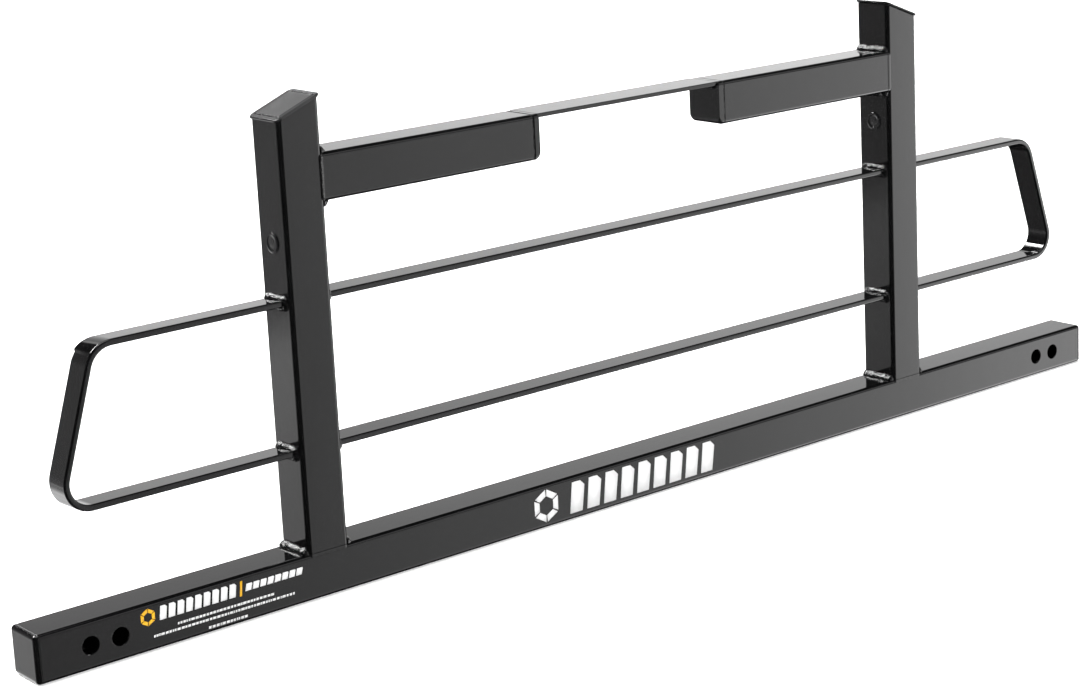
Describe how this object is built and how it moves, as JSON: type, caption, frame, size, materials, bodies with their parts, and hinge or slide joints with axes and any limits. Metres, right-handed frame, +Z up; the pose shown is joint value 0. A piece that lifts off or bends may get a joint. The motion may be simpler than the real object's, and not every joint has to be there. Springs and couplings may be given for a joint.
{
  "type": "headache rack",
  "caption": "Gloss black welded headache rack for a pickup bed, with square-tube uprights, flat-bar crossbars, side loops and light brackets.",
  "frame": {"origin": "middle of the rail's underside, under the middle of the rack", "axes": "+X along the rail to the right as seen from the face with the mark, -Y towards that face, +Z up"},
  "size_m": [1.575, 0.0552, 0.5306],
  "materials": {
    "powder_coated_steel": "gloss black powder coat",
    "powder_coated_weld": "gloss black powder coat over a rippled weld bead",
    "black_plastic": "satin moulded",
    "white_vinyl": "satin",
    "label_vinyl": "satin"
  },
  "bodies": {
    "root": {"bottom_rail": "powder_coated_steel", "rail_end_plate_left": "powder_coated_steel", "rail_end_plate_right": "powder_coated_steel", "upright_left": "powder_coated_steel", "upright_right": "powder_coated_steel", "light_bracket_left": "powder_coated_steel", "light_bracket_right": "powder_coated_steel", "bracket_end_plate_left": "powder_coated_steel", "bracket_end_plate_right": "powder_coated_steel", "bridge_bar": "powder_coated_steel", "crossbar_upper": "powder_coated_steel", "crossbar_lower": "powder_coated_steel", "side_loop_left": "powder_coated_steel", "side_loop_right": "powder_coated_steel", "weld_foot_left_outer": "powder_coated_weld", "weld_foot_left_inner": "powder_coated_weld", "weld_bracket_left_top": "powder_coated_weld", "weld_bracket_left_bottom": "powder_coated_weld", "weld_bridge_left": "powder_coated_weld", "weld_loop_left_upper": "powder_coated_weld", "weld_crossbar_left_upper": "powder_coated_weld", "weld_loop_left_lower": "powder_coated_weld", "weld_crossbar_left_lower": "powder_coated_weld", "weld_foot_right_outer": "powder_coated_weld", "weld_foot_right_inner": "powder_coated_weld", "weld_bracket_right_top": "powder_coated_weld", "weld_bracket_right_bottom": "powder_coated_weld", "weld_bridge_right": "powder_coated_weld", "weld_loop_right_upper": "powder_coated_weld", "weld_crossbar_right_upper": "powder_coated_weld", "weld_loop_right_lower": "powder_coated_weld", "weld_crossbar_right_lower": "powder_coated_weld", "upright_cap_left": "black_plastic", "upright_cap_right": "black_plastic", "hole_plug_left_outer": "black_plastic", "hole_plug_left_inner": "black_plastic", "hole_plug_right_outer": "black_plastic", "hole_plug_right_inner": "black_plastic", "rail_mark": "white_vinyl", "rail_label": "label_vinyl"}
  },
  "joints": []
}
